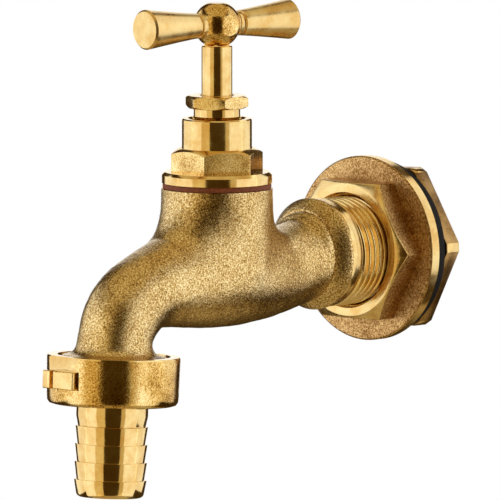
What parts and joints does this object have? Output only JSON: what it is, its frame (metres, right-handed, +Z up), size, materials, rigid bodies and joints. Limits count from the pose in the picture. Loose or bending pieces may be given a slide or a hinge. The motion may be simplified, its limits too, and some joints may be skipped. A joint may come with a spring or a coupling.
{
  "type": "hose bib",
  "caption": "Cast brass hose bib with T-bar handle, packed spindle, bulkhead fitting with back nut, and a hose union with a barbed tail.",
  "frame": {"origin": "centre of the plate's wall face, on the inlet axis", "axes": "+Y along the inlet axis into the wall, +Z up along the spindle, the spout points to -Y"},
  "size_m": [0.0566, 0.1512, 0.1475],
  "materials": {
    "cast_brass": "sand-cast, granular",
    "turned_brass": "turned, bright",
    "rubber": "black EPDM, matt",
    "vulcanised_fibre": "red-brown vulcanised fibre",
    "packing": "plaited PTFE packing"
  },
  "bodies": {
    "tap": {"tap_body": "cast_brass", "bulkhead_fitting": "cast_brass", "bonnet": "turned_brass", "bonnet_gasket": "vulcanised_fibre", "lower_packing_ring": "packing", "upper_packing_ring": "packing"},
    "valve": {"valve_plate": "turned_brass", "valve_washer": "rubber", "washer_nut": "turned_brass"},
    "handle": {"spindle": "turned_brass", "handle_hub": "turned_brass", "handle_arm_front": "turned_brass", "handle_arm_back": "turned_brass"},
    "gland_ring": {"gland_ring": "turned_brass"},
    "gland_nut": {"gland_nut": "turned_brass"},
    "hose_washer": {"hose_washer": "rubber"},
    "union_nut": {"union_nut": "cast_brass"},
    "hose_tail": {"hose_tail": "turned_brass"},
    "wall_gasket": {"wall_gasket": "rubber"},
    "back_nut": {"back_nut": "turned_brass"}
  },
  "joints": [
    {"name": "valve_lift", "type": "slide", "parent": "tap", "child": "valve", "axis": [0, 0, 1], "range_m": [0, 0.006]},
    {"name": "handle_turn", "type": "hinge", "parent": "valve", "child": "handle", "pos_m": [0, -0.0696, 0], "axis": [0, 0, 1], "range_deg": [0, 860]},
    {"name": "gland_travel", "type": "slide", "parent": "tap", "child": "gland_ring", "axis": [0, 0, 1], "range_m": [0, 0.002]},
    {"name": "gland_nut_turn", "type": "hinge", "parent": "gland_ring", "child": "gland_nut", "pos_m": [0, -0.0696, 0], "axis": [0, 0, 1], "range_deg": [0, 710]},
    {"name": "union_travel", "type": "slide", "parent": "tap", "child": "hose_washer", "axis": [0, -0.0436, -0.999], "range_m": [0, 0.0046]},
    {"name": "union_nut_turn", "type": "hinge", "parent": "hose_washer", "child": "union_nut", "pos_m": [0, -0.1153, -0.0241], "axis": [0, -0.0436, -0.999], "range_deg": [0, 710]},
    {"name": "tail_swivel", "type": "hinge", "parent": "hose_washer", "child": "hose_tail", "pos_m": [0, -0.1153, -0.0241], "axis": [0, -0.0436, -0.999], "continuous": true},
    {"name": "gasket_travel", "type": "slide", "parent": "tap", "child": "wall_gasket", "axis": [0, 1, 0], "range_m": [0, 0.006]},
    {"name": "back_nut_turn", "type": "hinge", "parent": "wall_gasket", "child": "back_nut", "pos_m": [0, 0.007, 0], "axis": [0, 1, 0], "range_deg": [0, 920]}
  ],
  "couplings": [
    {"joint": "valve_lift", "follows": "handle_turn", "m_per_rad": 0.00039789},
    {"joint": "gland_travel", "follows": "gland_nut_turn", "m_per_rad": 0.00015915},
    {"joint": "union_travel", "follows": "union_nut_turn", "m_per_rad": 0.00036749},
    {"joint": "gasket_travel", "follows": "back_nut_turn", "m_per_rad": 0.00036749}
  ]
}
